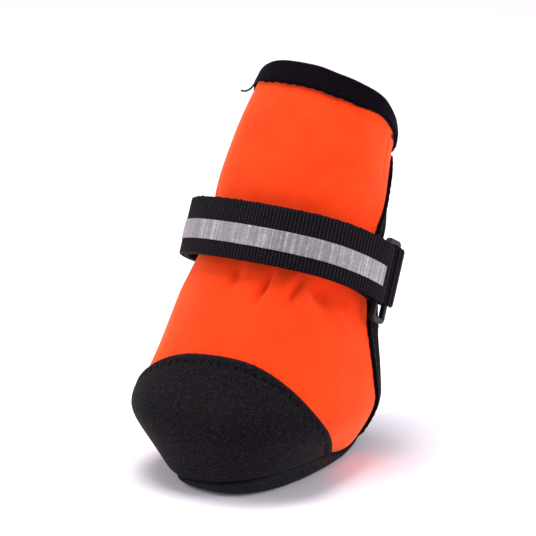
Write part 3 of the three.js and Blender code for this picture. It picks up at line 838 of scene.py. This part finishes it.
def fold_round(bar, along):
    """Half turn of webbing round a bar, from its inner side to its outer side."""
    outwards = np.array([abs(along[1]), -along[0] * np.sign(along[1])])
    turn = np.radians(np.linspace(0, 180, FOLD_POINTS))[:, None]
    return bar - outwards * FOLD_RADIUS * np.cos(turn) + along * FOLD_RADIUS * np.sin(turn)


def fold_opening(angle):
    """How far the two layers have parted on their way to the fold, from 0 to 1."""
    return smooth((angle - FOLD_ANGLE + FOLD_LENGTH_ANGLE) / FOLD_LENGTH_ANGLE)


def arc(start, end):
    """Angles a degree apart."""
    return np.linspace(start, end, abs(end - start) + 1)


def strap_line():
    under, over = arc(STRAP_ANCHOR_ANGLE, FOLD_START_ANGLE), arc(FOLD_START_ANGLE, STRAP_TAIL_ANGLE)
    inner = band_point(under, lerp(LAYER_STEP, BAR_INSET + FOLD_RADIUS, fold_opening(under)))
    outer = band_point(over, -FOLD_BULGE * fold_opening(over))
    return np.concatenate([inner, fold_round(first_bar, unit(band_step(FOLD_ANGLE, 0))), outer])


def tab_line():
    angles = arc(TAB_END_ANGLE, TAB_START_ANGLE)
    inner = band_point(angles, 0, TAB_BAND)
    outer = band_point(angles[::-1], -LAYER_STEP, TAB_BAND)
    return np.concatenate([inner, fold_round(second_bar, -ring_along), outer])


def stripe_line():
    angles = arc(STRIPE_START_ANGLE, STRIPE_END_ANGLE)
    lift = WEBBING / 2 + STRIPE_THICKNESS / 2
    return band_point(angles, -lift - FOLD_BULGE * fold_opening(angles))


def evened(line, step):
    """The line again with points a step apart, its small corners eased."""
    travel = travelled(line)
    places = np.linspace(0, travel[-1], int(travel[-1] / step) + 1)
    even = stacked(*(np.interp(places, travel, column) for column in line.T))
    for _ in range(EASING_PASSES):
        even[1:-1] = eased(even[:-2], even[1:-1], even[2:])
    return even, places


def sagged(across, rearwards, sag):
    """How far webbing hangs down on its way to the ring."""
    depth, start, end = sag
    angle = np.degrees(np.arctan2(across, -rearwards))
    return depth * np.clip((angle - start) / (end - start), 0, 1) ** 2


def add_webbing(name, line, width, thickness, rib_depth, nub, drop, sag, material, slot):
    """Ribbed ribbon along a line of the strap's frame; ribs run across its width.
    Its woven edge has a loop at each rib, and now and then a proud one."""
    line, along = evened(line, RIB_PITCH / RIB_SAMPLES)
    ahead = unit(np.gradient(line, axis=0))
    outwards = stacked(-ahead[:, 1], ahead[:, 0])
    loop = np.abs(np.sin(np.pi * along / RIB_PITCH))
    share = np.r_[WEAVE_WIDTHS, -WEAVE_WIDTHS]
    half_thickness = thickness / 2 - rib_depth * (1 - loop**RIB_POWER)
    out = np.r_[WEAVE_DEPTHS, -WEAVE_DEPTHS] * half_thickness[:, None]
    across = line[:, :1] + outwards[:, :1] * out
    rearwards = line[:, 1:] + outwards[:, 1:] * out
    proud = smooth((uneven(np.floor(along / RIB_PITCH)) - PROUD_START) / PROUD_SPAN)
    edge = nub * (loop * lerp(NUB_LEAST, 1, proud) - 1 / 2)
    upwards = share * width / 2 + np.clip(share, 0, 1) * edge[:, None]
    rings = to_boot(across, rearwards, upwards - drop - sagged(across, rearwards, sag))
    add_tube(name, rings, material, uv=stacked(along[:, None], share * width / 2))


def make_strap(webbing, tape):
    add_webbing("strap", strap_line(), *STRAP_SIZES, STRAP_SAG, webbing, "webbing")
    sizes = (STRIPE_WIDTH, STRIPE_THICKNESS, STRIPE_RIB_DEPTH, STRIPE_NUB, STRIPE_DROP)
    add_webbing("reflective_stripe", stripe_line(), *sizes, STRAP_SAG, tape, "reflective_tape")


def make_ring(plastic, webbing):
    """Bar of a squarish section along a rectangle with round corners, and the tab that holds it."""
    quarter = np.repeat(np.arange(4) * 90, RING_CORNER_POINTS)
    turn = np.radians(quarter + np.tile(np.linspace(0, 90, RING_CORNER_POINTS), 4))
    corner = np.radians(quarter + 45)
    half_sizes = np.array([RING_PITCH / 2, STRAP_WIDTH / 2 + RING_SLOT_PLAY + RING_BAR / 2])
    ways = stacked(np.cos(turn), np.sin(turn))
    signs = np.sign(stacked(np.cos(corner), np.sin(corner)))
    points = signs * (half_sizes - RING_CORNER) + RING_CORNER * ways
    turn = np.linspace(0, 2 * np.pi, RING_BAR_POINTS, endpoint=False)
    power = 2 / RING_SQUARENESS
    in_plane = RING_BAR / 2 * signed_power(np.cos(turn), power)
    deep = RING_BAR / 2 * signed_power(np.sin(turn), power)
    along = points[:, :1] + ways[:, :1] * in_plane
    upwards = points[:, 1:] + ways[:, 1:] * in_plane - RING_DROP
    middle = (first_bar + second_bar) / 2
    across = middle[0] + ring_along[0] * along + ring_along[1] * deep
    rearwards = middle[1] + ring_along[1] * along - ring_along[0] * deep
    rings = to_boot(across, rearwards, upwards)
    add_tube("strap_ring", rings, plastic, closed=True)
    add_webbing("ring_tab", tab_line(), *STRAP_SIZES, TAB_SAG, webbing, "webbing")


def thread_ways(ahead, side):
    """Ways out round a thread."""
    turn = np.linspace(0, 2 * np.pi, THREAD_SIDES, endpoint=False)[:, None]
    up = np.cross(ahead, side)
    return side[..., None, :] * np.cos(turn) + up[..., None, :] * np.sin(turn)


def add_stitches(name, rows, material, bow):
    """One joined mesh of sewn stitches: bowed threads whose ends sink into the cloth.
    Each row has the starts, the ends and the normals of its stitches."""
    starts, ends, normals = (np.concatenate(parts)[:, None] for parts in zip(*rows))
    share = np.linspace(0, 1, STITCH_RINGS)[:, None]
    arch = 4 * share * (1 - share)
    middle = lerp(starts, ends, share) + normals * (bow * arch - THREAD * THREAD_SINK)
    ahead = unit(ends - starts)
    ways = thread_ways(ahead, unit(np.cross(normals, ahead)))
    radius = THREAD / 2 * lerp(THREAD_TAPER, 1, np.sqrt(arch))
    rings = middle[:, :, None] + ways * radius[..., None]
    add_tube(name, rings, material, extra=True)


def zigzag(line, margins, pitch, distances, outs):
    """Threads of a zigzag along a line on the skin, between two distances beside it."""
    along = np.arange(margins[0], line.length - margins[1], pitch / 2)
    count = np.arange(len(along))
    even = count % 2 == 0
    jitter = STITCH_JITTER * (uneven(count) - 1 / 2)
    angle, rise = line.beside(along, np.where(even, *distances) + jitter)
    points = on_shell(angle, rise, np.where(even, *outs))
    normal = skin_frame(angle, rise)[-1]
    return points[:-1], points[1:], unit(normal[:-1] + normal[1:])


def running(line, margins, distance, out):
    """Threads of a straight row of stitches beside a line on the skin."""
    start = np.arange(margins[0], line.length - margins[1] - STITCH_LENGTH, STITCH_PITCH)
    places = [line.beside(along, distance) for along in (start, start + STITCH_LENGTH)]
    return *(on_shell(*place, out) for place in places), skin_frame(*places[1])[-1]


def panel_zigzag(line, margins, side):
    """Zigzag over a panel's edge; side is 1 where the panel is to the right of the line, else -1."""
    distances = (side * ZIGZAG_OUTSIDE, -side * ZIGZAG_INSIDE)
    return zigzag(line, margins, ZIGZAG_PITCH, distances, (THREAD_LIFT, PANEL_TOP - STITCH_DIMPLE / 2))


def make_panel_stitches(thread):
    cap = panel_zigzag(toe_cap_line(), TOE_CAP_MARGINS, 1)
    add_stitches("toe_cap_stitches", [cap], thread, FLAT_STITCH_BOW)
    angles = np.linspace(heel_panel_start(HEEL_PANEL_RISE), HEEL_PANEL_END, LINE_POINTS)
    top = panel_zigzag(SkinLine(angles, HEEL_PANEL_RISE), HEEL_PANEL_MARGINS, 1)
    rises = np.linspace(0, HEEL_PANEL_RISE, LINE_POINTS)
    side = panel_zigzag(SkinLine(HEEL_PANEL_END, rises), HEEL_PANEL_MARGINS, -1)
    add_stitches("heel_panel_stitches", [top, side], thread, FLAT_STITCH_BOW)


def beside_flap(rise, distance):
    """Angle that lies a distance inside the flap's edge."""
    return flap_angle(rise) - distance / round_step(flap_angle(rise), rise)


def make_binding_stitches(thread):
    angles = np.linspace(heel_panel_start(COLLAR_RISE), flap_angle(COLLAR_RISE), COLLAR_LINE_POINTS)
    edge = SkinLine(angles, COLLAR_RISE - collar_width(angles))
    outs = (THREAD_LIFT, BINDING_FAR)
    collar = zigzag(edge, COLLAR_MARGINS, COLLAR_STITCH_PITCH, COLLAR_STITCH_DISTANCES, outs)
    rises = np.linspace(FLAP_STITCH_START, COLLAR_RISE - FLAP_BINDING_TOP, FLAP_LINE_POINTS)
    inner_edge = SkinLine(beside_flap(rises, FLAP_BINDING_WIDTH), rises)
    flap = running(inner_edge, FLAP_MARGINS, -FLAP_STITCH_INSET, BINDING_FAR)
    add_stitches("binding_stitches", [collar, flap], thread, STITCH_BOW)


def make_patch_stitches(thread, dark_thread):
    """Stitched outline of the patch behind the outer flap, and the bar tack at its upper corner."""
    rises = np.linspace(*PATCH_RISES, LINE_POINTS)
    ends = beside_flap(rises, PATCH_FLAP_DISTANCE)
    bottom, top = (
        SkinLine(np.linspace(PATCH_START_ANGLE, ends[i], LINE_POINTS), rises[i]) for i in (0, -1)
    )
    lines = (bottom, SkinLine(PATCH_START_ANGLE, rises), SkinLine(ends, rises), top)
    rows = [running(line, NO_MARGINS, 0, -PATCH_STITCH_SINK) for line in lines]
    add_stitches("patch_stitches", rows, thread, FLAT_STITCH_BOW)
    tack_ends = (BAR_TACK_ANGLES, BAR_TACK_RISES)
    corner = SkinLine(*(np.linspace(*ends, LINE_POINTS) for ends in tack_ends))
    beside = (-BAR_TACK_WIDTH / 2, BAR_TACK_WIDTH / 2)
    tack = zigzag(corner, NO_MARGINS, BAR_TACK_PITCH, beside, (THREAD_LIFT, THREAD_LIFT))
    add_stitches("bar_tack", [tack], dark_thread, STITCH_BOW)


def sewn_box(first, last, inset, band):
    """Threads of a box sewn across webbing, with its diagonals, between two angles of a band."""
    step = np.linalg.norm(band_step(first, inset, band))
    high = STRAP_WIDTH / 2 - BOX_MARGIN
    angles = np.array([first, last, last, first, first, last, last, first], float)
    ups = np.array([-high, -high, high, high, -high, high, -high, high])
    travel = travelled(stacked(angles * step, ups))
    along = np.arange(0, travel[-1] - STITCH_PITCH, STITCH_PITCH)

    def place(at, further):
        angle, up = np.interp(at, travel, angles), np.interp(at, travel, ups)
        flat = band_point(angle, inset - WEBBING / 2 - further, band)
        return to_boot(flat[:, 0], flat[:, 1], up)

    starts, ends = place(along, 0), place(along + STITCH_LENGTH, 0)
    return starts, ends, unit(place(along, 1) - starts)


def make_webbing_stitches(thread):
    anchor = sewn_box(*(STRAP_ANCHOR_ANGLE + BOX_ANGLES), LAYER_STEP, BAND)
    tab = sewn_box(*(TAB_END_ANGLE - BOX_ANGLES), -LAYER_STEP, TAB_BAND)
    add_stitches("webbing_stitches", [anchor, tab], thread, STITCH_BOW)


def make_loose_end(thread):
    """End of thread that sticks out from the collar's seam."""
    root = on_shell(*np.array(LOOSE_END_ROOT, float)[:, None], 0)
    points = np.array(LOOSE_END_POINTS)
    share = np.linspace(0, len(points) - 1, LOOSE_END_RINGS)
    columns = (curve_through(np.arange(len(points)), column)(share) for column in points.T)
    line = root + stacked(*columns)
    ahead = unit(np.gradient(line, axis=0))
    ways = thread_ways(-ahead, unit(np.cross(ahead, (0.0, 0.0, 1.0))))
    rings = line[:, None] + ways * LOOSE_END_THICKNESS / 2
    add_tube("loose_thread_end", rings, thread, extra=True)


class Nodes:
    """Short way to write a material: add() makes a node and fills its inputs."""

    def __init__(self, name):
        self.name = name
        self.material = bpy.data.materials.new(name)
        self.material.use_nodes = True
        self.tree = self.material.node_tree
        self.shader = self.tree.nodes["Principled BSDF"]

    def fill(self, node, inputs):
        for key, value in inputs.items():
            if isinstance(value, bpy.types.NodeSocket):
                self.tree.links.new(value, node.inputs[key])
            else:
                node.inputs[key].default_value = value

    def add(self, kind, inputs, output=0, **settings):
        node = self.tree.nodes.new("ShaderNode" + kind)
        for key, value in settings.items():
            setattr(node, key, value)
        self.fill(node, inputs)
        return node.outputs[output]

    def grains(self, kind, output, size, **inputs):
        """Pattern over the boot's own coordinates, with grains of about this many millimetres."""
        place = self.add("TexCoord", {}, "Object")
        return self.add(kind, {"Vector": place, "Scale": 1 / (size * MM), **inputs}, output)

    def noise(self, size, detail, roughness=0.5):
        return self.grains("TexNoise", 0, size, Detail=detail, Roughness=roughness)

    def grain(self):
        return self.noise(*LOOKS[self.name][0])

    def pebbles(self, size):
        return self.grains("TexVoronoi", "Distance", size)

    def cloth_map(self):
        """Millimetres along and across a tape, from its own map."""
        split = self.add("SeparateXYZ", {0: self.add("UVMap", {}, uv_map="cloth")}).node
        return split.outputs["X"], split.outputs["Y"]

    def ramp(self, factor, stops):
        """Colours or greys at places of a pattern."""
        output = self.add("ValToRGB", {"Fac": factor}, "Color")
        elements = output.node.color_ramp.elements
        while len(elements) < len(stops):
            elements.new(0.5)
        for element, (place, colour) in zip(elements, stops):
            element.position = place
            element.color = (*np.broadcast_to(colour, 3), 1)
        return output

    def math(self, operation, first, second=0.0):
        return self.add("Math", {0: first, 1: second}, operation=operation)

    def weighted(self, patterns, shares):
        """Sum of patterns, each times its share."""
        total, *others = (self.math("MULTIPLY", *pair) for pair in zip(patterns, shares))
        for other in others:
            total = self.math("ADD", total, other)
        return total

    def bump(self, height, depth, **under):
        """Normal of a pattern this many millimetres deep, on top of another one."""
        return self.add("Bump", {"Height": height, "Distance": depth * MM, "Strength": 1.0, **under})

    def dressed(self, tone, gloss, height):
        """The finished material: colours by tone, roughness by gloss and relief by height."""
        _, colours, roughness, relief, *constants = LOOKS[self.name]
        under = {}
        if self.name in SWELLS:
            size, depth = SWELLS[self.name]
            under["Normal"] = self.bump(self.noise(size, SWELL_DETAIL), depth)
        patterns = {
            "Base Color": self.ramp(tone, colours),
            "Roughness": self.ramp(gloss, roughness),
            "Normal": self.bump(height, relief, **under),
        }
        self.fill(self.shader, {**patterns, **dict(zip(LOOK_CONSTANTS, constants))})
        return self.material


def plain_material(name):
    """Lining, binding, thread or floor: the grain sets all of its look."""
    n = Nodes(name)
    grain = n.grain()
    return n.dressed(grain, grain, grain)


def shell_material():
    """Matt stretch soft-shell: a smooth knit face, slightly uneven in tone, with a soft sheen."""
    n = Nodes("orange_shell")
    tone = n.weighted((n.noise(*SHELL_CLOUD), n.noise(*SHELL_MOTTLE)), SHELL_SHARES)
    knit = n.grain()
    return n.dressed(tone, knit, knit)


def neoprene_material():
    """Black neoprene with a napped, finely pebbled face and a few pale fibres."""
    n = Nodes("neoprene")
    grain = n.grain()
    tone = n.math("MULTIPLY", grain, n.noise(*NEOPRENE_FIBRES))
    return n.dressed(tone, grain, grain)


def grip_material():
    """Coated grip cloth of the sole: pebbled grain with small glints."""
    n = Nodes("grip_cloth")
    pebbles = n.pebbles(GRIP_PEBBLE)
    return n.dressed(pebbles, n.grain(), n.math("SUBTRACT", 1.0, pebbles))


def webbing_material():
    """Black ribbed webbing: yarns lie slantwise over each rib, and the crown of each rib is painted
    lighter as a highlight.
    """
    n = Nodes("webbing")
    along, across = n.cloth_map()
    rib = n.math("FLOOR", n.math("DIVIDE", along, RIB_PITCH))
    yarn = n.math("SINE", n.weighted((across, rib), (YARN_TURN, math.pi)))
    fuzz = n.grain()
    height = n.weighted((yarn, fuzz), (YARN_RELIEF, 1))
    # Painted highlight: the crowns of the ribs are coloured lighter, mottled by the fuzz and the
    # yarns' own tone
    crown = n.math("ABSOLUTE", n.math("SINE", n.math("MULTIPLY", along, math.pi / RIB_PITCH)))
    rib_highlight = n.math("MULTIPLY", crown, n.weighted((fuzz, yarn), (1, YARN_TONE)))
    return n.dressed(rib_highlight, fuzz, height)


def tape_material():
    """Silver-grey reflective tape: fine beads, with some ribs paler than others."""
    n = Nodes("reflective_tape")
    along, _ = n.cloth_map()
    rib = n.math("FLOOR", n.math("DIVIDE", along, RIB_PITCH / 2))
    pale = n.add("TexWhiteNoise", {"W": rib}, "Value", noise_dimensions="1D")
    beads = n.grain()
    tone = n.weighted((beads, pale, n.noise(*TAPE_CLOUD)), TAPE_SHARES)
    return n.dressed(tone, beads, beads)


def plastic_material():
    """Black moulded plastic with a faint spark-eroded grain."""
    n = Nodes("ring_plastic")
    grain = n.grain()
    return n.dressed(n.noise(*PLASTIC_CLOUD), grain, grain)


def make_floor():
    mesh = bpy.data.meshes.new("floor")
    corners = [(x * FLOOR_HALF, y * FLOOR_HALF, 0) for x, y in ((-1, -1), (1, -1), (1, 1), (-1, 1))]
    mesh.from_pydata(corners, [], [(0, 1, 2, 3)])
    mesh.materials.append(plain_material("floor"))
    add_object("floor", mesh)


def make_lights():
    for name, (place, size, power, colour) in LIGHTS.items():
        data = bpy.data.lights.new(name, "AREA")
        data.shape = "RECTANGLE"
        data.size, data.size_y = size
        data.energy, data.color = power, colour
        lamp = add_object(name, data)
        lamp.location = place
        lamp.rotation_euler = (Vector(LIGHT_AIM) - lamp.location).to_track_quat("-Z", "Y").to_euler()
    world = bpy.data.worlds.new("studio")
    world.use_nodes = True
    background = world.node_tree.nodes["Background"]
    background.inputs["Color"].default_value = WORLD_COLOUR
    background.inputs["Strength"].default_value = WORLD_STRENGTH
    bpy.context.scene.world = world


def make_camera():
    azimuth, elevation = math.radians(CAMERA_AZIMUTH), math.radians(CAMERA_ELEVATION)
    flat = math.cos(elevation)
    back = Vector((math.sin(azimuth) * flat, -math.cos(azimuth) * flat, math.sin(elevation)))
    data = bpy.data.cameras.new("photo_view")
    data.sensor_width, data.lens = SENSOR, LENS
    data.clip_start, data.clip_end = CLIP_START, CLIP_END
    camera = add_object("photo_view", data)
    place = (Vector(CAMERA_TARGET) + back * CAMERA_DISTANCE) * MM
    view = (Vector(FRAME_MIDDLE) * MM - place).to_track_quat("-Z", "Y").to_matrix().to_4x4()
    roll = Matrix.Rotation(math.radians(CAMERA_ROLL), 4, "Z")
    camera.matrix_world = Matrix.Translation(place) @ view @ roll
    bpy.context.scene.camera = camera


def make_boot():
    plain_names = ("lining", "binding", "dark_thread", "orange_thread")
    lining, binding, dark_thread, orange_thread = (plain_material(name) for name in plain_names)
    neoprene, webbing = neoprene_material(), webbing_material()
    make_upper(shell_material(), lining)
    make_toe_cap(neoprene)
    make_heel_panel(neoprene)
    make_sole(grip_material(), lining)
    make_collar_binding(binding)
    make_flap_binding(binding)
    make_strap(webbing, tape_material())
    make_ring(plastic_material(), webbing)
    make_panel_stitches(dark_thread)
    make_binding_stitches(dark_thread)
    make_patch_stitches(orange_thread, dark_thread)
    make_webbing_stitches(dark_thread)
    make_loose_end(dark_thread)


bpy.context.scene.view_settings.view_transform = "Standard"
make_camera()
make_lights()
make_floor()
make_boot()
